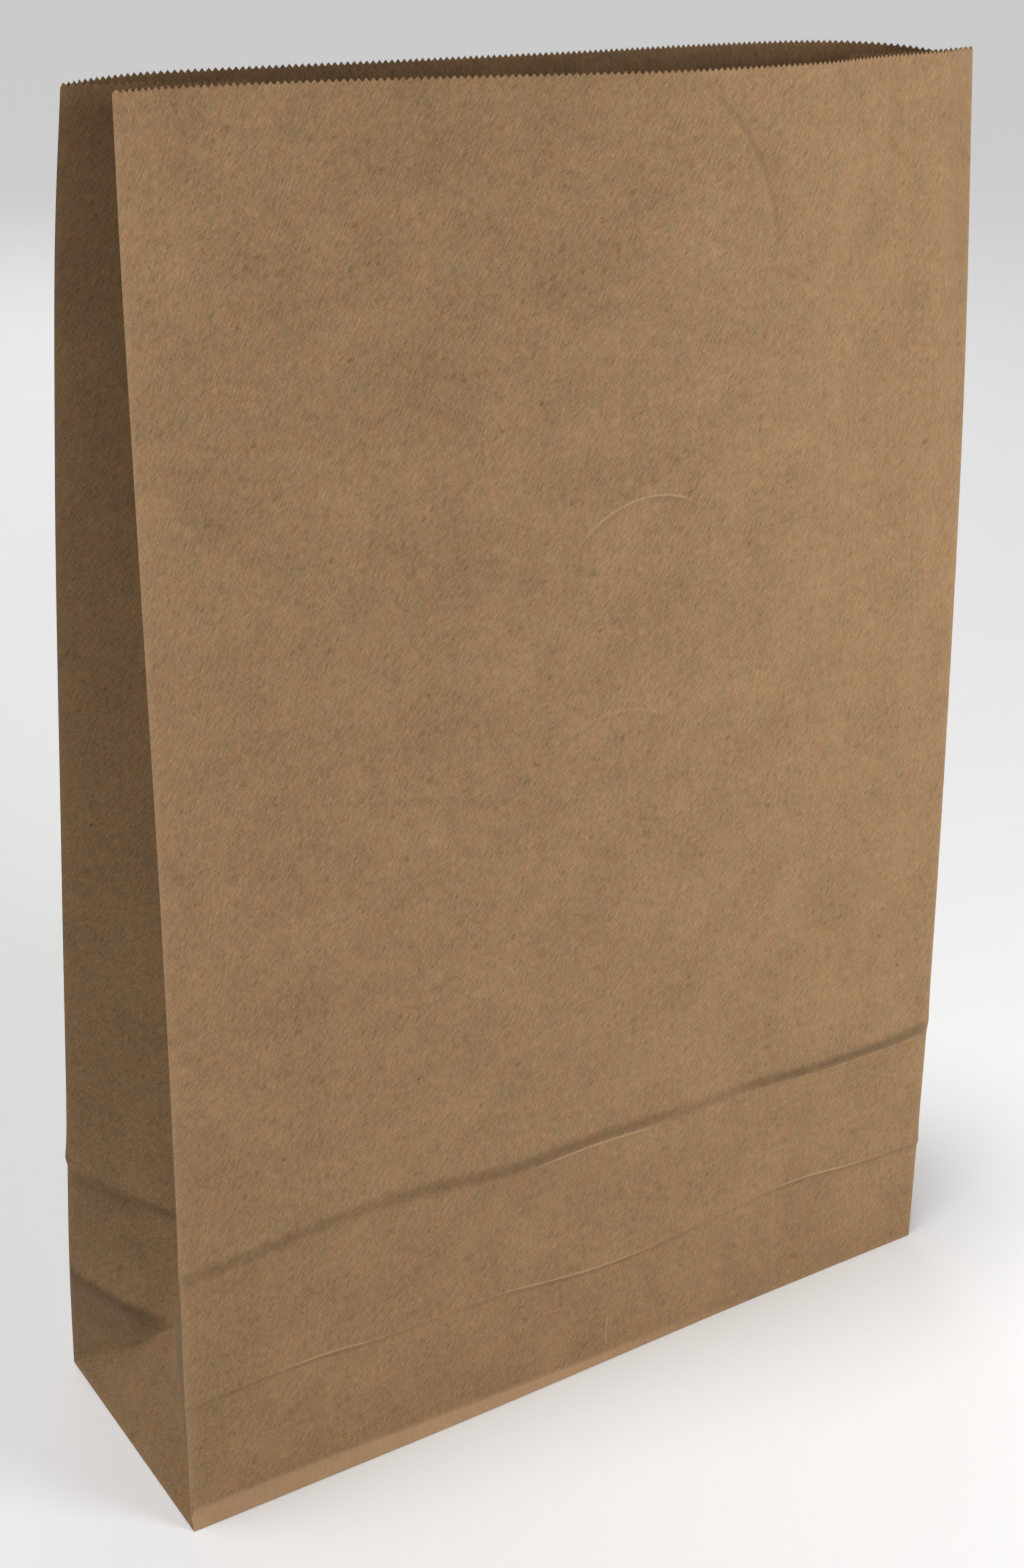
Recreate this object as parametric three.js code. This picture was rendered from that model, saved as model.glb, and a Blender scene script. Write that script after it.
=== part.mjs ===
// A brown kraft paper bag with a block bottom, standing open: one sheet, creased, folded and glued.
// Millimetres, +Z up, front panel facing -Y.
//
// The sheet is laid out in columns that run up the bag, from the bottom fold to the cut mouth, and in
// levels measured along the paper. Each column keeps its length of paper, so a wall that leans in also
// comes down. A gusset's centre fold stands half the bag's depth of paper away from both of its edges.
import * as THREE from "three";

// Driving dimensions
const WIDTH = 300; // front and back panels, edge to edge
const DEPTH = 94; // block bottom, front to back
const HEIGHT = 431; // paper from the bottom fold up to the tips of the mouth
const PAPER = 0.12; // thickness of the sheet
const BLOCK_FOLD = 45.5; // level of the gusset's fold, where the block bottom folds flat
const PRESS_LINE = 92; // level of the line that the folded bottom pressed into the walls
const FOOT = 5; // level of the crease over the strip that flares out under the front panel
const FLARE = 1.8; // how far that strip stands out at the left
const FLARE_FADES = [0.25, 0.8]; // shares of the width between which it dies away to the right
const TOOTH_PITCH = 2; // saw-cut mouth
const TOOTH_DEPTH = 1;
const BULGE = 2; // how far the back's upright edges stand out sideways, low down

const PANEL_STEPS = 10; // facets across the front and the back
const LEVELS = [BLOCK_FOLD, PRESS_LINE, 150, 210, 270, 330, 380, 424];

// How far each upright edge leans in over the block bottom: [level, lean]
const LEAN = {
  frontLeft: [[0, 0], [100, 0], [220, 2.7], [330, 8.8], [395, 12.6], [HEIGHT, 14]],
  frontRight: [[0, 0], [110, 3.6], [220, 9.8], [330, 17.8], [HEIGHT, 28.3]],
  backLeft: [[0, 0], [BLOCK_FOLD, 6.7], [100, 13.2], [210, 22], [330, 30.4], [395, 38.5], [HEIGHT, 46]],
  backRight: [[0, 0], [BLOCK_FOLD, 6.7], [100, 13.2], [210, 24], [330, 37], [HEIGHT, 54]],
};
// How far the back's upright edges stand out sideways, as a share of BULGE
const BULGE_SHAPE = [[0, 0], [BLOCK_FOLD, 0.85], [100, 1], [215, 0.65], [330, 0.1], [HEIGHT, 0]];

// The mouth seen from above, left to right: both edges bow apart between corners that the gussets draw in
const FRONT_MOUTH = [
  [-147, -33], [-125, -28], [-88, -29.5], [-53, -36], [0, -47],
  [30, -49], [65, -47], [98, -38], [126, -28], [147.5, -18.7],
];
const BACK_MOUTH = [
  [-146.5, 1], [-135, 6], [-118, 10], [-90, 11.5], [-34, 13.5],
  [21, 15], [70, 18], [100, 18.5], [122, 15], [138, 6], [147, -7],
];

const KRAFT = { color: 0x9a7b59, roughness: 0.92, metalness: 0 };

// Value at x on a line through [x, value] points.
function along(points, x) {
  const i = Math.max(1, points.findIndex(([at]) => at >= x));
  const [[x0, a], [x1, b]] = [points[i - 1], points[i]];
  return THREE.MathUtils.lerp(a, b, (x - x0) / (x1 - x0));
}

// A panel is the front or the back wall. side is -1 for the front and 1 for the back.
function makePanel(side, mouth, leanLeft, leanRight, bulge) {
  const curve = new THREE.SplineCurve(mouth.map(([x, y]) => new THREE.Vector2(x, y)));
  const [leftRim, rightRim] = [curve.getPointAt(0), curve.getPointAt(1)];
  // Place seen from above of the paper at share s of the width and at a level.
  return (s, level) => {
    const t = level / HEIGHT;
    const rim = curve.getPointAt(s);
    const bow = rim.y - THREE.MathUtils.lerp(leftRim.y, rightRim.y, s);
    const lean = THREE.MathUtils.lerp(along(leanLeft, level), along(leanRight, level), s);
    const flatX = (s - 0.5) * WIDTH;
    const x = THREE.MathUtils.lerp(flatX, rim.x, t * t);
    const edgeward = (2 * s - 1) ** 3; // -1 and 1 at the edges, and little in between
    const out = bulge * along(BULGE_SHAPE, level) * edgeward;
    return new THREE.Vector2(x + out, side * (DEPTH / 2 - lean) + bow * t * t);
  };
}

const front = makePanel(-1, FRONT_MOUTH, LEAN.frontLeft, LEAN.frontRight, 0);
const back = makePanel(1, BACK_MOUTH, LEAN.backLeft, LEAN.backRight, BULGE);

// A gusset's centre fold, pushed in until both halves are taut. s is 0 for the left and 1 for the right.
function centreFold(s, level) {
  const [f, b] = [front(s, level), back(s, level)];
  const chord = b.clone().sub(f);
  const inward = Math.sqrt(Math.max(0, (DEPTH / 2) ** 2 - chord.lengthSq() / 4));
  const turn = s ? 1 : -1;
  const normal = new THREE.Vector2(-turn * chord.y, turn * chord.x).normalize();
  return f.add(b).multiplyScalar(0.5).addScaledVector(normal, inward);
}

// Columns round the bag, anticlockwise from above: front, right fold, back, left fold.
function makeColumns() {
  const shares = Array.from({ length: PANEL_STEPS + 1 }, (_, i) => i / PANEL_STEPS);
  return [
    ...shares.map((s) => ({ panel: "front", plan: (level) => front(s, level), s })),
    { panel: "fold", plan: (level) => centreFold(1, level) },
    ...shares.toReversed().map((s) => ({ panel: "back", plan: (level) => back(s, level), s })),
    { panel: "fold", plan: (level) => centreFold(0, level) },
  ];
}

const columns = makeColumns();
const COUNT = columns.length;
const LEFT_FRONT = 0;
const RIGHT_FRONT = PANEL_STEPS;
const RIGHT_BACK = PANEL_STEPS + 2;
const LEFT_BACK = COUNT - 2;

const flareAt = (s) => FLARE * (1 - THREE.MathUtils.smoothstep(s, ...FLARE_FADES));

const STATIONS = [0, FOOT, ...LEVELS, HEIGHT - TOOTH_DEPTH, HEIGHT];
const AT_FOOT = 1; // index of the station at the foot crease
const AT_FOLD = 2; // index of the station at the block fold
const RIM = STATIONS.length - 2; // index of the station at the roots of the teeth

function planAt(column, level) {
  const place = column.plan(level);
  if (column.panel === "front") place.y -= flareAt(column.s) * Math.max(0, 1 - level / FOOT);
  return place;
}

// Middle of the sheet on one column at each level: what the paper goes sideways it loses in height.
function climb(column, levels) {
  const path = [];
  for (const [i, level] of levels.entries()) {
    const { x, y } = planAt(column, level);
    const last = path.at(-1) ?? new THREE.Vector3(x, y, PAPER / 2);
    const paper = i ? level - levels[i - 1] : 0;
    const rise = Math.sqrt(paper ** 2 - (x - last.x) ** 2 - (y - last.y) ** 2);
    path.push(new THREE.Vector3(x, y, last.z + rise));
  }
  return path;
}

// Only the front is creased at FOOT, so elsewhere the path runs straight past it.
function columnPath(column) {
  if (column.panel === "front") return climb(column, STATIONS);
  const path = climb(column, STATIONS.filter((level) => level !== FOOT));
  path.splice(AT_FOOT, 0, path[0].clone().lerp(path[1], FOOT / BLOCK_FOLD));
  return path;
}

const middle = columns.map(columnPath);

// The crumpled paper at the foot of a centre fold gives a little, so by the mouth the fold is level with
// the gusset's two edges again.
function levelCentreFold(fold, edgeA, edgeB) {
  const edgeHeight = (i) => (middle[edgeA][i].z + middle[edgeB][i].z) / 2;
  const dip = edgeHeight(AT_FOLD) - middle[fold][AT_FOLD].z;
  for (let i = AT_FOLD; i < STATIONS.length; i++) {
    const left = 1 - (STATIONS[i] - BLOCK_FOLD) / (HEIGHT - BLOCK_FOLD);
    middle[fold][i].z = edgeHeight(i) - dip * left;
  }
}

levelCentreFold(RIGHT_FRONT + 1, RIGHT_FRONT, RIGHT_BACK);
levelCentreFold(COUNT - 1, LEFT_BACK, LEFT_FRONT);

// Sideways step from the middle of the sheet to its outer face, mitred at each column.
function mitre(c, station) {
  const at = (i) => middle[(i + COUNT) % COUNT][station];
  const outward = (a, b) => new THREE.Vector2(b.y - a.y, a.x - b.x).normalize();
  const [before, after] = [outward(at(c - 1), at(c)), outward(at(c), at(c + 1))];
  return before.clone().add(after).multiplyScalar(1 / (1 + before.dot(after)));
}

// One face of the sheet: side is 1 for the outer and -1 for the inner.
function facePoint(c, station, side) {
  const p = middle[c][station].clone();
  const step = mitre(c, station).multiplyScalar((side * PAPER) / 2);
  p.x += step.x;
  p.y += step.y;
  if (station === 0) p.z -= (side * PAPER) / 2;
  return p;
}

// Triangles of one face of the sheet, facing out of the bag.
function faceTriangles(side) {
  const triangles = [];
  const p = (c, station) => facePoint(c % COUNT, station, side);
  const quad = (a, b, above, beside) => triangles.push([a, b, above], [a, above, beside]);
  for (let c = 0; c < COUNT; c++) {
    if (columns[c].panel === "fold" || columns[(c + 1) % COUNT].panel === "fold") continue;
    quad(p(c, 0), p(c + 1, 0), p(c + 1, AT_FOOT), p(c, AT_FOOT));
    quad(p(c, AT_FOOT), p(c + 1, AT_FOOT), p(c + 1, AT_FOLD), p(c, AT_FOLD));
  }
  for (const edge of [RIGHT_FRONT, RIGHT_BACK, LEFT_BACK, COUNT]) {
    triangles.push(...blockFold(p, edge, edge === RIGHT_BACK || edge === COUNT));
  }
  for (let station = AT_FOLD; station < RIM - 1; station++) {
    for (let c = 0; c < COUNT; c++) {
      quad(p(c, station), p(c + 1, station), p(c + 1, station + 1), p(c, station + 1));
    }
  }
  triangles.push(...bottomTriangles(p));
  return triangles;
}

// Half a gusset under its block fold: a slanting crease runs from the bottom corner up to the centre fold.
function blockFold(p, edge, foldBefore) {
  const fold = foldBefore ? edge + COUNT - 1 : edge + 1;
  const made = [
    [p(edge, 0), p(fold, 0), p(fold, AT_FOLD)],
    [p(edge, 0), p(fold, AT_FOLD), p(edge, AT_FOOT)],
    [p(edge, AT_FOOT), p(fold, AT_FOLD), p(edge, AT_FOLD)],
  ];
  return foldBefore ? made.map(([a, b, c]) => [a, c, b]) : made;
}

// The bottom, in strips from front to back, with each gusset's centre fold on its end.
function bottomTriangles(p) {
  const made = [];
  for (let i = 0; i < PANEL_STEPS; i++) {
    const [f0, f1] = [p(i, 0), p(i + 1, 0)];
    const [b0, b1] = [p(LEFT_BACK - i, 0), p(LEFT_BACK - i - 1, 0)];
    if (i === 0) {
      const end = p(COUNT - 1, 0);
      made.push([f0, end, f1], [end, b1, f1], [end, b0, b1]);
    } else if (i === PANEL_STEPS - 1) {
      const end = p(RIGHT_FRONT + 1, 0);
      made.push([f1, f0, end], [f0, b0, end], [b0, b1, end]);
    } else {
      made.push([f0, b0, f1], [b0, b1, f1]);
    }
  }
  return made;
}

// Saw teeth along the mouth between two columns: roots and tips in turn, from root to root.
function rimPoints(c, side) {
  const next = (c + 1) % COUNT;
  const span = middle[c][RIM].distanceTo(middle[next][RIM]);
  const teeth = Math.round(span / TOOTH_PITCH);
  return Array.from({ length: 2 * teeth + 1 }, (_, i) => {
    const station = RIM + (i % 2);
    return facePoint(c, station, side).lerp(facePoint(next, station, side), i / (2 * teeth));
  });
}

// The band under the teeth, on one face: a fan from each column's last level up to the teeth.
function rimBand(side) {
  const made = [];
  for (let c = 0; c < COUNT; c++) {
    const [a, b] = [facePoint(c, RIM - 1, side), facePoint((c + 1) % COUNT, RIM - 1, side)];
    const rim = rimPoints(c, side);
    const half = (rim.length - 1) / 2;
    made.push([a, b, rim[half]]);
    for (let i = 0; i < rim.length - 1; i++) made.push([i < half ? a : b, rim[i + 1], rim[i]]);
  }
  return made;
}

// The cut edge of the paper, between the outer and the inner teeth.
function cutEdge() {
  const made = [];
  for (let c = 0; c < COUNT; c++) {
    const [outer, inner] = [rimPoints(c, 1), rimPoints(c, -1)];
    for (let i = 0; i < outer.length - 1; i++) {
      made.push([outer[i], outer[i + 1], inner[i + 1]], [outer[i], inner[i + 1], inner[i]]);
    }
  }
  return made;
}

function makeBag() {
  const flip = ([a, b, c]) => [a, c, b];
  const triangles = [
    ...faceTriangles(1),
    ...rimBand(1),
    ...cutEdge(),
    ...faceTriangles(-1).map(flip),
    ...rimBand(-1).map(flip),
  ];
  const geometry = new THREE.BufferGeometry().setFromPoints(triangles.flat());
  geometry.computeVertexNormals();
  const bag = new THREE.Mesh(geometry, new THREE.MeshStandardMaterial(KRAFT));
  bag.name = "paper_bag";
  return bag;
}

// The origin is under the middle of the bag's box.
function centred(bag) {
  const middleOfBox = new THREE.Box3().setFromObject(bag).getCenter(new THREE.Vector3());
  const group = new THREE.Group();
  bag.position.set(-middleOfBox.x, -middleOfBox.y, 0);
  group.add(bag);
  return group;
}

const group = centred(makeBag());
export default group;
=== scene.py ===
import math

import bpy
import numpy as np
from mathutils import Matrix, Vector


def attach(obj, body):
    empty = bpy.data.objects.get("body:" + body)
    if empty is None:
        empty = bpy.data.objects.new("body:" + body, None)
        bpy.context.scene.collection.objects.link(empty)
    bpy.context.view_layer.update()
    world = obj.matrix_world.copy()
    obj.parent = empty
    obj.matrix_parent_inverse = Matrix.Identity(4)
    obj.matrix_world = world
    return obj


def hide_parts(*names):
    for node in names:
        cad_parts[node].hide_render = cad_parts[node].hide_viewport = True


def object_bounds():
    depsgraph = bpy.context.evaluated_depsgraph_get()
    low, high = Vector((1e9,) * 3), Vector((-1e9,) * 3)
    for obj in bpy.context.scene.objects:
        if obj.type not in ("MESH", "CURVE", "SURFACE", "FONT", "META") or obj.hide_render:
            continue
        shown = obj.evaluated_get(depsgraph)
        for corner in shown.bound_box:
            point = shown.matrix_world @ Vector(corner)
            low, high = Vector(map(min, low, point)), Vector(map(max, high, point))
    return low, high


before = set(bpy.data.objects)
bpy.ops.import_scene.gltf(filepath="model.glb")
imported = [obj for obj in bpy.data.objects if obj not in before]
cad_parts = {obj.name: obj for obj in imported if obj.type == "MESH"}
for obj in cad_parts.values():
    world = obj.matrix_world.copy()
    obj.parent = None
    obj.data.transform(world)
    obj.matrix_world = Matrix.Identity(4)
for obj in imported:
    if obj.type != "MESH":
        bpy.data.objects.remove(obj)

# A brown kraft paper bag with a block bottom, standing open. It is one sheet: a front, a back and two
# gussets that fold inward, cut with saw teeth at the mouth and folded flat into a block at the bottom.
# The sheet is laid out in millimetres: u runs round the bag from the front's left edge, anticlockwise
# seen from above, and level runs up the paper from the bottom fold.

cad_low, cad_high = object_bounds()
MM = 0.001

WIDTH, DEPTH, HEIGHT = 300.0, 94.0, 431.0
PAPER = 0.12
BLOCK_FOLD = 45.5  # where the gusset folds, and the block bottom folds flat
PRESS_LINE = 92.0  # pressed into the walls by the folded bottom
TOOTH_DEPTH = 1.0
ROUND = 2 * (WIDTH + DEPTH)  # the sheet's whole width

FRONT_CELLS = 150  # one saw tooth to a cell
TOOTH = WIDTH / FRONT_CELLS  # a saw tooth's width
GUSSET_CELLS = 24  # in each half of a gusset, one tooth to a cell
BACK_CELLS = 75  # two teeth to a cell
SEAM = 148.0  # the glued overlap's edge, across the back
SHARP_FOLD = math.radians(28)  # a fold turned more than this has a crisp edge
BLOCK_ROWS = GUSSET_CELLS  # so that the slanting bottom folds run along the cells' diagonals

# How far each upright edge leans in over the block bottom: level, lean
LEAN = {
    "front left": [(0, 0), (100, 0), (220, 2.7), (330, 8.8), (395, 12.6), (431, 14)],
    "front right": [(0, 0), (110, 3.6), (220, 9.8), (330, 17.8), (431, 28.3)],
    "back left": [(0, 0), (45.5, 6.7), (100, 13.2), (210, 22), (330, 30.4), (395, 38.5), (431, 46)],
    "back right": [(0, 0), (45.5, 6.7), (100, 13.2), (210, 24), (330, 37), (431, 54)],
}
# How far the back's upright edges stand out sideways: level, distance
BULGE = [(0, 0), (45.5, 1.7), (100, 2), (215, 1.3), (330, 0.2), (431, 0)]
# The mouth seen from above, left to right
FRONT_MOUTH = [
    (-147, -33), (-125, -28), (-88, -29.5), (-53, -36), (0, -47),
    (30, -49), (65, -47), (98, -38), (126, -28), (147.5, -18.7),
]
BACK_MOUTH = [
    (-146.5, 1), (-135, 6), (-118, 10), (-90, 11.5), (-34, 13.5),
    (21, 15), (70, 18), (100, 18.5), (122, 15), (138, 6), (147, -7),
]


def smooth_through(points, at):
    """Values at some places on a smooth line through points, each (place, value, ...)."""
    points = np.array(points, float)
    knots, values = points[:, 0], points[:, 1:]
    slopes = np.gradient(values, knots, axis=0)
    i = np.clip(np.searchsorted(knots, at) - 1, 0, len(knots) - 2)
    step = knots[i + 1] - knots[i]
    t = ((at - knots[i]) / step)[..., None]
    step = step[..., None]
    start = (1 + 2 * t) * (1 - t) ** 2 * values[i] + t * (1 - t) ** 2 * step * slopes[i]
    end = t * t * (3 - 2 * t) * values[i + 1] + t * t * (t - 1) * step * slopes[i + 1]
    return (start + end)[..., 0] if values.shape[1] == 1 else start + end


def smooth_step(low, high, x):
    t = np.clip((x - low) / (high - low), 0, 1)
    return t * t * (3 - 2 * t)


def hump(x, middle, reach):
    """1 at the middle and 0 past its reach."""
    return 1 - smooth_step(0, 1, np.abs(x - middle) / reach)


def mouth_line(points, share):
    """Places along a mouth's edge, by share of its length."""
    numbered = [(i, x, y) for i, (x, y) in enumerate(points)]
    fine = smooth_through(numbered, np.linspace(0, len(points) - 1, 400))
    length = np.concatenate([[0], np.cumsum(np.hypot(*np.diff(fine, axis=0).T))])
    return [np.interp(share * length[-1], length, fine[:, k]) for k in (0, 1)]


def wall(side, mouth, lean_left, lean_right, bulge, share, level):
    """Where the front or back wall's paper stands, seen from above."""
    t = level / HEIGHT
    rim_x, rim_y = mouth_line(mouth, share)
    bow = rim_y - (mouth[0][1] * (1 - share) + mouth[-1][1] * share)
    left, right = smooth_through(lean_left, level), smooth_through(lean_right, level)
    lean = left * (1 - share) + right * share
    x = (share - 0.5) * WIDTH * (1 - t * t) + rim_x * t * t
    x = x + bulge * smooth_through(BULGE, level) * (2 * share - 1) ** 3
    return x, side * (DEPTH / 2 - lean) + bow * t * t


def front(share, level):
    return wall(-1, FRONT_MOUTH, LEAN["front left"], LEAN["front right"], 0, share, level)


def back(share, level):
    return wall(1, BACK_MOUTH, LEAN["back left"], LEAN["back right"], 1, share, level)


def centre_fold(share, level):
    """The gusset's centre fold, pushed in until both halves are taut."""
    (fx, fy), (bx, by) = front(share, level), back(share, level)
    across, along = bx - fx, by - fy
    chord = np.hypot(across, along)
    inward = np.sqrt(np.maximum(0, DEPTH**2 - chord**2) / 4)
    turn = 1 if share else -1
    x = (fx + bx) / 2 - turn * along / chord * inward
    y = (fy + by) / 2 + turn * across / chord * inward
    return x, y


def climbed(x, y, level):
    """Points up some columns of paper, whose length is kept: what goes sideways is lost in height."""
    steps = [np.diff(v, axis=0) for v in (level, x, y)]
    rise = np.sqrt(np.maximum(0, steps[0] ** 2 - steps[1] ** 2 - steps[2] ** 2))
    z = PAPER / 2 + np.concatenate([np.zeros((1, x.shape[1])), np.cumsum(rise, axis=0)])
    return np.stack([x, y, z], axis=-1)


# Levels of the rows: even in the block, closer where the paper is creased
ROWS = np.concatenate([
    np.linspace(0, BLOCK_FOLD, BLOCK_ROWS + 1),
    np.arange(48, 84, 3), np.arange(84, 102, 1.5), np.arange(102, 110, 2.5),
    np.arange(110, 234, 6), np.arange(234, 250, 2.5), np.arange(250, 294, 5.5),
    np.arange(294, 318, 2), np.arange(318, 372, 5.5), np.arange(372, 430, 3),
    [HEIGHT - TOOTH_DEPTH],
])
FOOT_ROW = 3
FOOT_LEVEL = ROWS[FOOT_ROW]


def foot_level(share):
    """The top of the strip along the front's foot, which tapers away to the right."""
    return FOOT_LEVEL * (1 - 0.75 * smooth_step(0.02, 0.75, share) * (1 - smooth_step(0.85, 1, share)))


def front_levels(share):
    """The front's rows, bent so that one of them runs along the crease over the foot strip."""
    foot = foot_level(share)
    rows = ROWS[:, None] + 0 * share[None, :]
    below = ROWS[:, None] / FOOT_LEVEL * foot
    above = foot + (ROWS[:, None] - FOOT_LEVEL) / (BLOCK_FOLD - FOOT_LEVEL) * (BLOCK_FOLD - foot)
    return np.where(rows <= FOOT_LEVEL, below, np.where(rows < BLOCK_FOLD, above, rows)), foot


def front_points():
    share = np.linspace(0, 1, FRONT_CELLS + 1)
    level, foot = front_levels(share)
    x, y = front(share[None, :] + 0 * level, level)
    flare = 2.3 * (1 - smooth_step(0.25, 0.8, share))
    y = y - flare * np.maximum(0, 1 - level / foot)
    return climbed(x, y, level), share * WIDTH + 0 * level, level


def back_points():
    share = np.linspace(1, 0, BACK_CELLS + 1)
    level = ROWS[:, None] + 0 * share
    x, y = back(share[None, :] + 0 * level, level)
    return climbed(x, y, level), WIDTH + DEPTH + (1 - share) * WIDTH + 0 * level, level


def gusset_points(edge_a, edge_b, share, start_u):
    """Both halves of a gusset between two edges that stand already, without those edges."""
    level = ROWS[:, None]
    x, y = centre_fold(share, level)
    fold = climbed(x, y, level)[:, 0]
    edges = (edge_a[:, 2] + edge_b[:, 2]) / 2
    dip = edges[BLOCK_ROWS] - fold[BLOCK_ROWS, 2]
    left = 1 - (ROWS - BLOCK_FOLD) / (HEIGHT - BLOCK_FOLD)
    fold[:, 2] = np.where(ROWS > BLOCK_FOLD, edges - dip * left, fold[:, 2])
    out = []
    for edge, shares in ((edge_a, np.linspace(0, 1, GUSSET_CELLS + 1)[1:]),
                         (edge_b, np.linspace(1, 0, GUSSET_CELLS + 1)[1:-1])):
        out.append(gusset_half(edge, fold, shares))
    points = np.concatenate(out, axis=1)
    u = start_u + np.arange(1, 2 * GUSSET_CELLS) * DEPTH / (2 * GUSSET_CELLS)
    return points, u[None, :] + 0 * level, level + 0 * u


def gusset_half(edge, fold, q):
    """Half a gusset from its edge (q 0) to its centre fold (q 1), with the slanting fold at the bottom."""
    inward = q[None, :, None]
    upper = edge[:, None] * (1 - inward) + fold[:, None] * inward
    corner, knee, low_fold = edge[0], edge[BLOCK_ROWS], fold[0]
    peak = fold[BLOCK_ROWS]
    up = (ROWS / BLOCK_FOLD)[:, None, None]
    under = corner + inward * (low_fold - corner) + up * (peak - low_fold)
    over = corner + up * (knee - corner) + inward * (peak - knee)
    block = np.where(up <= inward, under, over)
    return np.where((ROWS <= BLOCK_FOLD)[:, None, None], block, upper)


def pressed_line(level, line, height, above, below):
    """A line pressed across the paper: it swells over some distance above the line and drops below it."""
    d = level - line
    return height * np.where(d > 0, np.exp(-d / above), 1 - smooth_step(0, below, -d))


def arc_crease(u, level, centre, radius, start, end, height, width):
    """A curved crease from handling, part of a circle on the sheet. Angles are in degrees from +u."""
    du, dl = u - centre[0], level - centre[1]
    angle = np.degrees(np.arctan2(dl, du))
    middle, reach = (start + end) / 2, (end - start) / 2
    return height * hump(np.hypot(du, dl), radius, width) * hump(angle, middle, reach)


def slack(u, level, size):
    """The slow waves of paper that isn't pulled tight."""
    waves = np.sin(u / 23 + 1.3 * np.sin(level / 61)) + np.sin(level / 31 + 1.1 * np.sin(u / 47) + 2)
    return size / 2 * waves * smooth_step(0, 40, level)


# Creases across the front: place along it, then level
PRESSED = [
    (0, 96.5), (27, 98), (60, 100), (85, 99.3), (120, 96.3), (150, 97.2),
    (190, 95.3), (215, 95.6), (245, 93.8), (300, 93.6),
]
HANDLED = [
    (0, 47), (46, 48), (65, 46), (115, 45), (140, 42.5), (155, 41.5),
    (199, 43), (238, 45.5), (270, 43), (300, 42),
]
# and how deep they are: place, depth
PRESSED_DEPTH = [
    (0, 0.5), (30, 1.2), (60, 1.1), (130, 1.6), (165, 1.4),
    (200, 0.9), (230, 1.9), (280, 1.8), (300, 0.5),
]
HANDLED_DEPTH = [
    (0, 0.5), (45, 0.8), (90, 0.5), (150, 0.9), (175, 1), (200, 0.5), (255, 0.8), (300, 0.5),
]
PRESSED_BAND, HANDLED_BAND = 6.4, 2.4  # mm; how wide the band under each line is, where the paper drops and painted shade darkens it
# Curved creases where fingers have held it: centre, radius, first and last angle, height, width
HELD = [
    ((140, 374), 60.5, 2, 66, -1.3, 4.5),
    ((160, 281), 30.5, 45, 158, 0.8, 4),
    ((152, 212), 33, 45, 140, 0.5, 4),
    ((156, 354), 31, 50, 120, 0.35, 4),
    ((190, 14), 32, 165, 200, 0.5, 3.6),
]


def front_relief(u, level):
    """How far the front's paper stands out of its smooth shape: creases from folding and handling."""
    pressed, handled = smooth_through(PRESSED, u), smooth_through(HANDLED, u)
    out = pressed_line(level, pressed, smooth_through(PRESSED_DEPTH, u), 8, PRESSED_BAND)
    out += pressed_line(level, handled, smooth_through(HANDLED_DEPTH, u), 5, HANDLED_BAND)
    out += 0.35 * np.exp(-u / 2.5) * smooth_step(5, 30, level)
    for crease in HELD:
        out += arc_crease(u, level, *crease)
    ripple = np.sin(u / 10.5 + 0.5 * np.sin(level / 60) + 0.8) * smooth_step(190, 235, u)
    out += 0.8 * ripple * smooth_step(120, 330, level) * (1 - smooth_step(280, 300, u))
    out += 2.2 * hump(u, 277, 22) * smooth_step(170, 400, level)
    edges = smooth_step(0, 25, u) * smooth_step(0, 25, WIDTH - u)
    return out + slack(u, level, 0.7) * edges


def gusset_relief(u, level, back_half):
    """A gusset's soft creases: where the bottom pressed it, and over the block fold in its back half."""
    q = np.abs(u / (DEPTH / 2) - 1)
    depth = 0.4 + 1.2 * smooth_step(0, 0.6, q) - smooth_step(0.8, 1, q)
    out = pressed_line(level, PRESS_LINE - 4, depth, 9, 3.5)
    depth = 3 * smooth_step(0.05, 0.5, q) - 1.5 * smooth_step(0.7, 1, q)
    out += pressed_line(level, BLOCK_FOLD, np.where(back_half, depth, 0), 9, 14)
    return out + slack(u + 90, level, 0.5) * q * (1 - q) * 4


def back_relief(u, level):
    """The back: the same pressed line, and the raised edge of the glued seam."""
    out = pressed_line(level, PRESS_LINE, 0.9, 7, 4)
    out += 0.3 * smooth_step(SEAM - 4, SEAM, u) * (1 - smooth_step(SEAM, SEAM + 60, u))
    edges = smooth_step(0, 25, u) * smooth_step(0, 25, WIDTH - u)
    return out + slack(u + 200, level, 0.6) * edges


def edge_distance(u):
    """How far the paper is from the nearest upright edge."""
    edges = np.array([0, WIDTH, WIDTH + DEPTH, 2 * WIDTH + DEPTH, ROUND])
    return np.abs(u[..., None] - edges).min(axis=-1)


def painted_crease_shade(u, level):
    """How much painted shade darkens the paper along the gussets' and the back's creases and over the gusset
    flaps, from 0 to about 2.
    """
    q = np.abs((u - WIDTH) % (WIDTH + DEPTH) / (DEPTH / 2) - 1)
    gusset = (u > WIDTH) & (u < WIDTH + DEPTH) | (u > 2 * WIDTH + DEPTH)
    back = (u > WIDTH + DEPTH) & (u < 2 * WIDTH + DEPTH)
    back_halves = (u > WIDTH + DEPTH / 2) & (u < ROUND - DEPTH / 2)
    # Painted shade: the gusset flaps under the block fold, a line down the centre fold in the block, and a
    # band under the pressed line
    flap = 1.8 * (1 - smooth_step(0, 14, BLOCK_FOLD - level)) * (level < BLOCK_FOLD + 0.1)
    flap = flap * smooth_step(0, 0.3, q) * back_halves * (level > edge_distance(u))
    middle = 0.6 * hump(q, 0, 0.06) * (level < BLOCK_FOLD)
    pressed = hump(level, PRESS_LINE - 6, 3.5)
    return np.where(gusset, flap + pressed + middle, np.where(back, 0.7 * pressed, 0))


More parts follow.
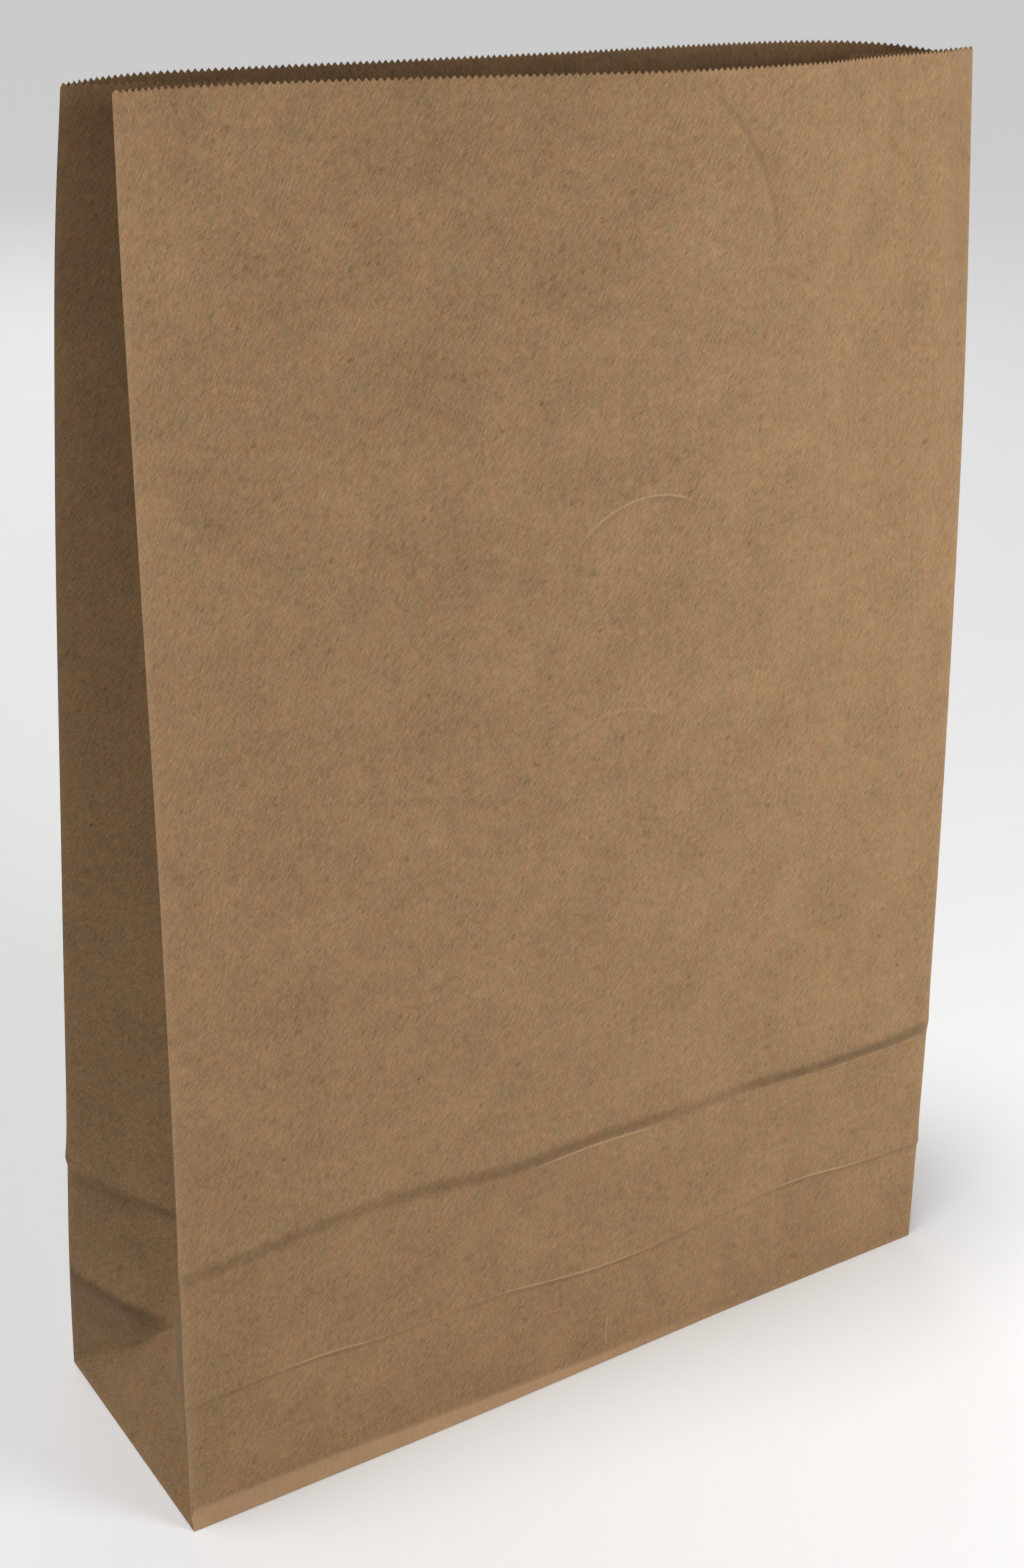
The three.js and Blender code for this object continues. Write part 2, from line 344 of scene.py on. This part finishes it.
def ring_normals(points):
    """Normals of the paper at each point of the ring of columns, facing out."""
    across = np.roll(points, -1, axis=1) - np.roll(points, 1, axis=1)
    along = np.gradient(points, axis=0)
    normal = np.cross(across, along)
    return normal / np.linalg.norm(normal, axis=-1, keepdims=True)


def lay_out_sheet():
    """The middle of the sheet: points, u, level and relief of every row and column, round the bag."""
    right_edge, back_edge, left_edge = WIDTH, WIDTH + DEPTH, 2 * WIDTH + DEPTH
    front_wall, back_wall = front_points(), back_points()
    front_at, back_at = front_wall[0], back_wall[0]
    right_gusset = gusset_points(front_at[:, -1], back_at[:, 0], 1, right_edge)
    left_gusset = gusset_points(back_at[:, -1], front_at[:, 0], 0, left_edge)
    parts = front_wall, right_gusset, back_wall, left_gusset
    points, u, level = (np.concatenate(values, axis=1) for values in zip(*parts))
    (_, right_u, right_level), (_, left_u, left_level) = right_gusset, left_gusset
    relief = np.concatenate([
        front_relief(*front_wall[1:]),
        gusset_relief(right_u - right_edge, right_level, right_u > right_edge + DEPTH / 2),
        back_relief(back_wall[1] - back_edge, back_wall[2]),
        gusset_relief(left_u - left_edge, left_level, left_u < left_edge + DEPTH / 2),
    ], axis=1)
    relief[0] = 0
    points = points + ring_normals(points) * relief[..., None]
    points[0, :, 2] = PAPER / 2
    return points, u, level


def both_sides(points):
    """The sheet's outer and inner sides: the middle of the paper, half its thickness out and in."""
    step = ring_normals(points) * PAPER / 2
    step[0, :, 2] = -PAPER / 2
    return points + step, points - step


class SheetMesh:
    """Vertices with their places on the sheet, and faces between them."""

    def __init__(self):
        self.places, self.on_sheet, self.faces = [], [], []

    def add(self, places, us, levels):
        """Adds a block of vertices and returns their numbers, in the block's shape."""
        first = len(self.places)
        self.places += [tuple(p) for p in places.reshape(-1, 3)]
        self.on_sheet += list(zip(np.ravel(us), np.ravel(levels)))
        return first + np.arange(np.size(us)).reshape(np.shape(us))

    def face(self, *corners, flip=False):
        self.faces.append(corners[::-1] if flip else corners)


def split_corner(column):
    """Which way a gusset's cells are cut in the block: 1 or -1 along a slanting fold, and 0 elsewhere."""
    gussets = (FRONT_CELLS, FRONT_CELLS + 2 * GUSSET_CELLS + BACK_CELLS)
    for first in gussets:
        if first <= column < first + GUSSET_CELLS:
            return 1
        if first + GUSSET_CELLS <= column < first + 2 * GUSSET_CELLS:
            return -1
    return 0


def teeth_in(column):
    """How many saw teeth a column of cells holds: two across the back and one elsewhere."""
    first = FRONT_CELLS + 2 * GUSSET_CELLS
    return 2 if first <= column < first + BACK_CELLS else 1


def make_side(mesh, points, u, level, flip):
    """One side of the sheet, up to the teeth. Returns its lowest ring and each column's tooth roots."""
    ids = mesh.add(points, u, level)
    rows, columns = ids.shape
    roots = []
    for c in range(columns):
        n = (c + 1) % columns
        cut, teeth = split_corner(c), teeth_in(c)
        for r in range(rows - 2):
            a, b, d, e = ids[r, c], ids[r, n], ids[r + 1, n], ids[r + 1, c]
            if r < BLOCK_ROWS and cut == 1:
                mesh.face(a, b, d, flip=flip)
                mesh.face(a, d, e, flip=flip)
            elif r < BLOCK_ROWS and cut == -1:
                mesh.face(a, b, e, flip=flip)
                mesh.face(b, d, e, flip=flip)
            else:
                mesh.face(a, b, d, e, flip=flip)
        ends = [ids[-1, c], ids[-1, n]]
        if teeth == 2:
            middle = (points[-1, c] + points[-1, n]) / 2
            between = mesh.add(middle, u[-1, c] + TOOTH, level[-1, c])
            ends.insert(1, int(between))
        mesh.face(ids[-2, c], ids[-2, n], *ends[::-1], flip=flip)
        roots.append(ends)
    return ids[0], roots


def cut_teeth(mesh, outer_roots, inner_roots):
    """Saw teeth on both sides of the mouth, and the cut edge of the paper between them."""
    for outer, inner in zip(outer_roots, inner_roots):
        for (a, b), (c, d) in zip(zip(outer, outer[1:]), zip(inner, inner[1:])):
            tips = []
            for left, right in ((a, b), (c, d)):
                place = (np.array(mesh.places[left]) + np.array(mesh.places[right])) / 2
                place[2] += TOOTH_DEPTH
                root_u = mesh.on_sheet[left][0]
                tips.append(int(mesh.add(place, root_u + TOOTH / 2, HEIGHT)))
            tip, inner_tip = tips
            mesh.face(a, b, tip)
            mesh.face(d, c, inner_tip)
            mesh.face(a, tip, inner_tip, c)
            mesh.face(tip, b, d, inner_tip)


def make_bag():
    """The whole bag as one mesh, set over the middle of the frame's box. Returns how far that moved it."""
    points, u, level = lay_out_sheet()
    outer, inner = both_sides(points)
    mesh = SheetMesh()
    outer_ring, outer_roots = make_side(mesh, outer, u, level, False)
    inner_ring, inner_roots = make_side(mesh, inner, u, level, True)
    mesh.face(*outer_ring.tolist()[::-1])
    mesh.face(*inner_ring.tolist())
    cut_teeth(mesh, outer_roots, inner_roots)
    places = np.array(mesh.places)
    middle = (places.min(axis=0) + places.max(axis=0)) / 2
    target = (np.array(cad_low) + np.array(cad_high)) / 2 / MM
    shift = np.array([target[0] - middle[0], target[1] - middle[1], 0])
    data = bpy.data.meshes.new("kraft_bag")
    faces = [[int(corner) for corner in face] for face in mesh.faces]
    data.from_pydata(((places + shift) * MM).tolist(), [], faces)
    lay_sheet_coordinates(data, np.array(mesh.on_sheet))
    data.shade_smooth()
    data.set_sharp_from_angle(angle=SHARP_FOLD)
    bag = bpy.data.objects.new("kraft_bag", data)
    bpy.context.scene.collection.objects.link(bag)
    return bag, shift


RING = 10  # corners; only the two faces under the bottom have more
FOLD_PALENESS, RUB_REACH = 0.45, 1.3  # how pale a fold's edge is, partly worn paper and partly painted highlight, and the mm over which that fades
SLANT_LESS = 0.8  # mm; the slanting folds are paled as if they were this much further off
BLOCK_LESS, NO_FOLD = 3, 9  # mm; the same inside the block, and where there is no fold at all
STRIP_ROOM = 0.01  # mm; so that the strip's own upper row counts as part of it


def lay_sheet_coordinates(data, on_sheet):
    """A UV map in metres along the sheet, and at each corner how pale the paper is, from worn folds and
    painted highlights, and how dark with painted shade.
    """
    vertex = np.zeros(len(data.loops), np.int32)
    data.loops.foreach_get("vertex_index", vertex)
    u, level = on_sheet[vertex].T
    under = np.zeros(len(data.loops), bool)
    for face in data.polygons:
        part = slice(face.loop_start, face.loop_start + face.loop_total)
        if face.loop_total > RING:
            under[part] = True
        elif u[part].max() - u[part].min() > WIDTH:
            u[part] += np.where(u[part] < WIDTH, ROUND, 0)
    places = np.array([v.co for v in data.vertices])[vertex] / MM
    uv = np.where(under[:, None], places[:, :2] + [0, -DEPTH], np.stack([u, level], axis=1))
    data.uv_layers.new(name="sheet").data.foreach_set("uv", (uv * MM).ravel())
    centres = np.array([WIDTH + DEPTH / 2, 2 * WIDTH + 1.5 * DEPTH])
    edge = edge_distance(u)
    centre = np.abs(u[:, None] - centres).min(axis=1) + np.where(level < BLOCK_FOLD, BLOCK_LESS, 0)
    no_slant = (edge > DEPTH / 2) | (level > BLOCK_FOLD)
    slant = np.abs(edge - level) + np.where(no_slant, NO_FOLD, 0)
    nearest = np.min([edge, centre, level, slant + SLANT_LESS], axis=0)
    worn_and_highlit = FOLD_PALENESS * np.exp(-nearest / RUB_REACH)
    # The front's foot strip is painted paler: a painted highlight where it tilts up towards the light
    share = np.clip(u / WIDTH, 0, 1)
    strip = (u < WIDTH) & (level < foot_level(share) + STRIP_ROOM)
    worn_and_highlit = np.maximum(worn_and_highlit, np.where(strip, 1 - smooth_step(0.45, 0.8, share), 0))
    # the second layer is painted shade along the creases
    for name, values in (("fold_wear_and_highlight", worn_and_highlit), ("painted_crease_shade", painted_crease_shade(u % ROUND, level))):
        layer = data.attributes.new(name, "FLOAT", "CORNER")
        layer.data.foreach_set("value", np.where(under, 0, values))


def linear(colour):
    """An sRGB hex colour as linear RGBA."""
    parts = [int(colour[i:i + 2], 16) / 255 for i in (1, 3, 5)]
    return [p / 12.92 if p <= 0.04045 else ((p + 0.055) / 1.055) ** 2.4 for p in parts] + [1]


def add(tree, kind, inputs=(), **settings):
    """Adds a node with its settings, and gives its inputs values or links. A node links its first output."""
    made = tree.nodes.new(kind)
    for name, value in settings.items():
        setattr(made, name, value)
    for name, value in dict(inputs).items():
        if isinstance(value, bpy.types.Node):
            value = value.outputs[0]
        if isinstance(value, bpy.types.NodeSocket):
            tree.links.new(value, made.inputs[name])
        else:
            made.inputs[name].default_value = value
    return made


def new_material(name):
    material = bpy.data.materials.new(name)
    material.use_nodes = True
    tree = material.node_tree
    tree.nodes.clear()
    return material, tree


COOL_PULP, WARM_PULP = "#8c7655", "#9b7450"
# The pale colour stands for worn fold edges and also for painted highlights: lit fold edges, the front's
# foot strip and the crease hairlines
WORN_AND_HIGHLIT_PALE, BARK = "#bd9a76", "#4e3620"
CLOUDS = 26.0  # mm; the widest clumps of pulp, which break up into ever finer ones
FLOCKS = 7.0  # mm; patches of warmer and cooler fibre
FIBRE = (3.6, 0.5)  # mm long and wide; real fibres are finer, and wouldn't show
SHIVE = (2.2, 0.25)  # mm; a dark splinter of bark left in the pulp
SHIVES_APART = 26.0  # mm
HAIRLINE = 0.35  # mm; half the width of the pale painted highlight along a crease
# Painted highlights, pale hairlines across the front: place along it, then how strong
PRESSED_HAIR = [
    (0, 0), (118, 0), (130, 0.5), (150, 0.9), (172, 0.5), (190, 0), (215, 0.15), (290, 0.3), (300, 0),
]
HANDLED_HAIR = [
    (0, 0.1), (30, 0.2), (48, 0.9), (66, 0.3), (90, 0.1), (112, 0.3), (128, 0.8), (142, 0.8),
    (165, 0.4), (185, 0.1), (225, 0.1), (248, 0.9), (265, 0.8), (285, 0.2), (300, 0.3),
]
# How strong the curved creases' painted shade and painted highlight are, in the order of HELD
HELD_SHADE_AND_HIGHLIGHT = [(0.8, 0), (0.35, 0.6), (0.25, 0.25), (0, 0), (0, 0.5)]


def curve_along(tree, across, points, top):
    """A smooth curve over the front's width, through points (place, value) with values up to top."""
    share = add(tree, "ShaderNodeMath", {0: across, 1: WIDTH * MM}, operation="DIVIDE")
    curve = add(tree, "ShaderNodeFloatCurve", {"Value": share})
    line = curve.mapping.curves[0]
    spots = [(place / WIDTH, value / top) for place, value in points]
    line.points[0].location, line.points[1].location = spots[0], spots[-1]
    for spot in spots[1:-1]:
        line.points.new(*spot)
    curve.mapping.update()
    return add(tree, "ShaderNodeMath", {0: curve, 1: top}, operation="MULTIPLY")


def faded(tree, distance, full, none):
    """1 nearer than one distance and 0 past another, from a distance in metres."""
    return add(tree, "ShaderNodeMapRange", {
        "Value": distance, "From Min": full * MM, "From Max": none * MM, "To Min": 1, "To Max": 0},
        interpolation_type="SMOOTHSTEP")


def hairline(tree, off):
    """1 on a line and 0 past its hairline width, from the distance off it in metres."""
    distance = add(tree, "ShaderNodeMath", {0: off}, operation="ABSOLUTE")
    return faded(tree, distance, 0.3 * HAIRLINE, 1.7 * HAIRLINE)


def painted_shade_band(tree, off, width):
    """1 in a crease's band of painted shade and 0 outside it, from the distance off its middle in metres."""
    distance = add(tree, "ShaderNodeMath", {0: off}, operation="ABSOLUTE")
    return faded(tree, distance, 0.12 * width, 0.68 * width)


def line_marks(tree, across, up, line, depth, hair, width, highlight_drop):
    """The painted shade in a dark band under a crease across the front, and the painted highlight in a
    hairline some way down from its line.
    """
    level = curve_along(tree, across, line, 100)
    level = add(tree, "ShaderNodeMath", {0: level, 1: MM}, operation="MULTIPLY")
    over = add(tree, "ShaderNodeMath", {0: up, 1: level}, operation="SUBTRACT")
    off_band = add(tree, "ShaderNodeMath", {0: over, 1: width / 2 * MM}, operation="ADD")
    off_highlight = add(tree, "ShaderNodeMath", {0: over, 1: highlight_drop * MM}, operation="ADD")
    band, painted_highlight_line = painted_shade_band(tree, off_band, width), hairline(tree, off_highlight)
    depths, hairs = curve_along(tree, across, depth, 2), curve_along(tree, across, hair, 1)
    dark = add(tree, "ShaderNodeMath", {0: band, 1: depths}, operation="MULTIPLY")
    pale = add(tree, "ShaderNodeMath", {0: painted_highlight_line, 1: hairs}, operation="MULTIPLY")
    return dark, pale


def held_marks(tree, sheet, crease, dark, pale):
    """A curved crease's painted shade in a dark inner band and its painted highlight in a pale hairline,
    both fading towards its ends.
    """
    centre, radius, start, end, _, width = crease
    angle = math.radians((start + end) / 2)
    half = radius * math.radians(end - start) / 2
    middle = (centre[0] + radius * math.cos(angle), centre[1] + radius * math.sin(angle))
    reach, near = [
        add(tree, "ShaderNodeVectorMath", {0: sheet, 1: (x * MM, y * MM, 0)}, operation="DISTANCE")
        for x, y in (centre, middle)]
    fade = faded(tree, near.outputs["Value"], 0.5 * half, half)
    off = add(tree, "ShaderNodeMath", {0: reach.outputs["Value"], 1: radius * MM}, operation="SUBTRACT")
    inner = add(tree, "ShaderNodeMath", {0: off, 1: 0.3 * width * MM}, operation="ADD")
    dark = add(tree, "ShaderNodeMath", {0: fade, 1: dark}, operation="MULTIPLY")
    dark = add(tree, "ShaderNodeMath", {0: painted_shade_band(tree, inner, 0.6 * width), 1: dark}, operation="MULTIPLY")
    pointed = add(tree, "ShaderNodeMath", {0: fade, 1: 4}, operation="POWER")
    pale = add(tree, "ShaderNodeMath", {0: pointed, 1: pale}, operation="MULTIPLY")
    pale = add(tree, "ShaderNodeMath", {0: hairline(tree, off), 1: pale}, operation="MULTIPLY")
    return dark, pale


def front_crease_shade_and_highlight(tree, sheet):
    """The front's creases painted into its colour: painted shade in dark bands under them, and painted
    highlights in pale hairlines along them."""
    xyz = add(tree, "ShaderNodeSeparateXYZ", {"Vector": sheet})
    across, up = xyz.outputs["X"], xyz.outputs["Y"]
    pressed = (PRESSED, PRESSED_DEPTH, PRESSED_HAIR, PRESSED_BAND, PRESSED_BAND)
    handled = (HANDLED, HANDLED_DEPTH, HANDLED_HAIR, HANDLED_BAND, 0)
    marks = [line_marks(tree, across, up, *line) for line in (pressed, handled)]
    marks += [held_marks(tree, sheet, crease, *shades) for crease, shades in zip(HELD, HELD_SHADE_AND_HIGHLIGHT)]
    on_front = add(tree, "ShaderNodeMath", {0: across, 1: WIDTH * MM}, operation="LESS_THAN")
    out = []
    for strongest, *others in zip(*marks):
        for mark in others:
            strongest = add(tree, "ShaderNodeMath", {0: strongest, 1: mark}, operation="MAXIMUM")
        out.append(add(tree, "ShaderNodeMath", {0: strongest, 1: on_front}, operation="MULTIPLY"))
    return out


def laid_fibres(tree, sheet, turn, size):
    """Streaks of noise as long and wide as a fibre, turned by some degrees on the sheet."""
    laid = add(tree, "ShaderNodeMapping", {
        "Vector": sheet, "Rotation": (0, 0, math.radians(turn)),
        "Scale": (size[0] * MM, size[1] * MM, 1)}, vector_type="TEXTURE")
    return add(tree, "ShaderNodeTexNoise", {
        "Vector": laid, "Scale": 1, "Detail": 1.5, "Roughness": 0.6}, noise_dimensions="2D")


def shives(tree, sheet):
    """Where the dark splinters lie: short, thin and far apart."""
    thin = laid_fibres(tree, sheet, 35, SHIVE)
    cells = add(tree, "ShaderNodeTexVoronoi", {"Vector": sheet, "Scale": 1 / (SHIVES_APART * MM)},
                voronoi_dimensions="2D")
    near = add(tree, "ShaderNodeMath", {0: cells, 1: 0.04}, operation="LESS_THAN")
    dark = add(tree, "ShaderNodeMapRange", {
        "Value": thin, "From Min": 0.5, "From Max": 0.65, "To Max": 0.6})
    return add(tree, "ShaderNodeMath", {0: near, 1: dark}, operation="MULTIPLY")


def kraft_paper():
    """Unbleached kraft paper, pressed from long brown fibres: matt, clouded where the pulp clumped, with
    streaks of warm and cool fibre lying every way, painted shade along creases, and pale painted highlights
    on them, on the foot strip and at the folds, where the paper is also worn."""
    material, tree = new_material("unbleached_kraft_paper")
    sheet = add(tree, "ShaderNodeUVMap", uv_map="sheet")
    pulp = add(tree, "ShaderNodeTexNoise", {
        "Vector": sheet, "Scale": 1 / (CLOUDS * MM), "Detail": 6, "Roughness": 0.85}, noise_dimensions="2D")
    flocks = add(tree, "ShaderNodeTexNoise", {
        "Vector": sheet, "Scale": 1 / (FLOCKS * MM), "Detail": 4, "Roughness": 0.8}, noise_dimensions="2D")
    first, second, third = [laid_fibres(tree, sheet, turn, FIBRE) for turn in (22, 64, 128)]
    raised = add(tree, "ShaderNodeMath", {0: first, 1: second}, operation="MAXIMUM")
    sunk = add(tree, "ShaderNodeMath", {0: second, 1: third}, operation="MINIMUM")
    crossed = add(tree, "ShaderNodeMath", {0: raised, 1: sunk}, operation="ADD")

    strands = add(tree, "ShaderNodeMath", {0: first, 1: third}, operation="SUBTRACT")
    warmth = add(tree, "ShaderNodeMath", {0: strands, 1: 0.5, 2: flocks}, operation="MULTIPLY_ADD")
    warmth = add(tree, "ShaderNodeMapRange", {"Value": warmth, "From Min": 0.12, "From Max": 0.88})
    colour = add(tree, "ShaderNodeMix", {0: warmth, 6: linear(COOL_PULP), 7: linear(WARM_PULP)},
                 data_type="RGBA")

    tone = add(tree, "ShaderNodeMath", {0: pulp, 1: 0.66, 2: -0.05}, operation="MULTIPLY_ADD")
    tone = add(tree, "ShaderNodeMath", {0: crossed, 1: 0.76, 2: tone}, operation="MULTIPLY_ADD")
    # painted shade along the gussets' and the back's creases
    shade = add(tree, "ShaderNodeAttribute", attribute_name="painted_crease_shade")
    # painted shade under the front's creases, and painted highlights in pale hairlines along them
    painted_crease_dark, painted_crease_highlights = front_crease_shade_and_highlight(tree, sheet)
    shade = add(tree, "ShaderNodeMath", {0: shade.outputs["Fac"], 1: painted_crease_dark}, operation="ADD")
    darker = add(tree, "ShaderNodeMath", {0: shade, 1: -0.2, 2: 1}, operation="MULTIPLY_ADD")
    tone = add(tree, "ShaderNodeMath", {0: tone, 1: darker}, operation="MULTIPLY")
    colour = add(tree, "ShaderNodeHueSaturation", {"Color": colour.outputs[2], "Value": tone})

    colour = add(tree, "ShaderNodeMix", {0: shives(tree, sheet), 6: colour, 7: linear(BARK)},
                 data_type="RGBA")
    # Paler fold edges, partly worn paper and partly painted highlight, and the foot strip's painted
    # highlight
    pale_wear_and_highlight = add(tree, "ShaderNodeAttribute", attribute_name="fold_wear_and_highlight")
    pale_wear_and_highlight = add(tree, "ShaderNodeMath", {0: pale_wear_and_highlight.outputs["Fac"], 1: 0.52}, operation="MULTIPLY")
    # the pale hairlines are painted highlights
    painted_crease_highlights = add(tree, "ShaderNodeMath", {0: painted_crease_highlights, 1: 0.75}, operation="MULTIPLY")
    pale = add(tree, "ShaderNodeMath", {0: pale_wear_and_highlight, 1: painted_crease_highlights}, operation="MAXIMUM")
    colour = add(tree, "ShaderNodeMix", {0: pale, 6: colour.outputs[2], 7: linear(WORN_AND_HIGHLIT_PALE)},
                 data_type="RGBA")
    nap = add(tree, "ShaderNodeBump", {"Height": crossed, "Strength": 0.3, "Distance": 0.0001})
    shader = add(tree, "ShaderNodeBsdfPrincipled", {
        "Base Color": colour.outputs[2], "Roughness": 0.82, "Specular IOR Level": 0.3, "Normal": nap})
    add(tree, "ShaderNodeOutputMaterial", {"Surface": shader})
    return material


FLOOR_HALF = 15.0  # m from the middle of the floor to its edges
FLOOR_DROP = 0.0002  # m; so that the bag's underside and the floor aren't in one plane
BACKDROP_RADIUS, BACKDROP_HEIGHT, BACKDROP_FOOT = 11.0, 9.0, -0.01  # m


def studio_floor():
    """A flat floor of pale matt card: even and almost white."""
    material, tree = new_material("pale_matt_card")
    shader = add(tree, "ShaderNodeBsdfPrincipled", {
        "Base Color": linear("#eeeeee"), "Roughness": 0.9, "Specular IOR Level": 0.2})
    add(tree, "ShaderNodeOutputMaterial", {"Surface": shader})
    data = bpy.data.meshes.new("floor")
    corners = [(x * FLOOR_HALF, y * FLOOR_HALF, 0) for x, y in ((-1, -1), (1, -1), (1, 1), (-1, 1))]
    data.from_pydata(corners, [], [(0, 1, 2, 3)])
    data.materials.append(material)
    floor = bpy.data.objects.new("floor", data)
    floor.location.z = -FLOOR_DROP
    bpy.context.scene.collection.objects.link(floor)


def studio_backdrop():
    """A pale wall all round, far off. It only closes the view over the floor, and gives no light."""
    material, tree = new_material("pale_evenly_lit_wall")
    glow = add(tree, "ShaderNodeEmission", {"Color": linear("#cbcbcb"), "Strength": 1})
    add(tree, "ShaderNodeOutputMaterial", {"Surface": glow})
    sides = 64
    turns = [2 * math.pi * i / sides for i in range(sides)]
    places = [
        (BACKDROP_RADIUS * math.cos(turn), BACKDROP_RADIUS * math.sin(turn), z)
        for z in (BACKDROP_FOOT, BACKDROP_HEIGHT) for turn in turns]
    walls = [(i, (i + 1) % sides, sides + (i + 1) % sides, sides + i) for i in range(sides)]
    data = bpy.data.meshes.new("backdrop")
    data.from_pydata(places, [], walls)
    data.materials.append(material)
    backdrop = bpy.data.objects.new("backdrop", data)
    backdrop.visible_diffuse = backdrop.visible_glossy = backdrop.visible_shadow = False
    bpy.context.scene.collection.objects.link(backdrop)


def aim(lamp, azimuth, elevation, distance):
    """Points a lamp at the middle of the bag. Azimuth 0 is in front of it and 90 on its right."""
    a, e = math.radians(azimuth), math.radians(elevation)
    way = np.array([math.sin(a) * math.cos(e), -math.cos(a) * math.cos(e), math.sin(e)])
    side = np.cross([0, 0, 1], way)
    side /= np.linalg.norm(side)
    turn = np.stack([side, np.cross(way, side), way], axis=1)
    place = way * distance + [0, 0, HEIGHT / 2 * MM]
    lamp.matrix_world = Matrix.Translation(place) @ Matrix(turn.tolist()).to_4x4()
    bpy.context.scene.collection.objects.link(lamp)


FILL = 0.06  # the world's strength
OVERHEAD_ANGLE, OVERHEAD_STRENGTH = math.radians(20), 2.1
# Soft round lamps: name, width in m, power in W, azimuth and elevation in degrees, distance in m
LAMPS = [("key", 0.5, 5.0, 31, 16, 0.9), ("behind", 1.5, 7, 165, 35, 2)]


def light_studio():
    """One soft lamp ahead and to the right, a weak one behind, an even soft light from above, and a
    little fill."""
    world = bpy.data.worlds.new("studio")
    world.use_nodes = True
    fill = world.node_tree.nodes["Background"]
    fill.inputs["Color"].default_value = linear("#ffffff")
    fill.inputs["Strength"].default_value = FILL
    bpy.context.scene.world = world
    for name, width, power, azimuth, elevation, distance in LAMPS:
        lamp = bpy.data.lights.new(name, "AREA")
        lamp.shape, lamp.size, lamp.energy = "DISK", width, power
        aim(bpy.data.objects.new(name, lamp), azimuth, elevation, distance)
    overhead = bpy.data.lights.new("overhead", "SUN")
    overhead.angle, overhead.energy = OVERHEAD_ANGLE, OVERHEAD_STRENGTH
    aim(bpy.data.objects.new("overhead", overhead), -90, 80, 4)


CAMERA_AT = (-365.2, -544.5, 492.2)  # mm, from the middle of the bag's bottom
CAMERA_LENS, SENSOR = 50.37, 36
CAMERA_TURN = (33.44, 23.79, 1.44)  # degrees round to the bag's left, down, and rolled


def set_camera(shift):
    """Eye height just over the bag's mouth, 33 degrees round to its left, looking 24 degrees down."""
    camera = bpy.data.cameras.new("camera")
    camera.sensor_width, camera.lens = SENSOR, CAMERA_LENS
    azimuth, down, roll = (math.radians(angle) for angle in CAMERA_TURN)
    level_ahead = np.array([math.sin(azimuth), math.cos(azimuth), 0])
    level_right = np.array([math.cos(azimuth), -math.sin(azimuth), 0])
    ahead = level_ahead * math.cos(down) - np.array([0, 0, math.sin(down)])
    level_up = np.cross(level_right, ahead)
    right = math.cos(roll) * level_right + math.sin(roll) * level_up
    up = math.cos(roll) * level_up - math.sin(roll) * level_right
    turn = Matrix(np.stack([right, up, -ahead], axis=1).tolist()).to_4x4()
    place = (np.array(CAMERA_AT) + shift) * MM
    holder = bpy.data.objects.new("camera", camera)
    holder.matrix_world = Matrix.Translation(place) @ turn
    bpy.context.scene.collection.objects.link(holder)
    bpy.context.scene.camera = holder


bag, shift = make_bag()
bag.data.materials.append(kraft_paper())
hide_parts("paper_bag")
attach(bag, "root")
studio_floor()
studio_backdrop()
light_studio()
set_camera(shift)
bpy.context.scene.view_settings.view_transform = "Standard"
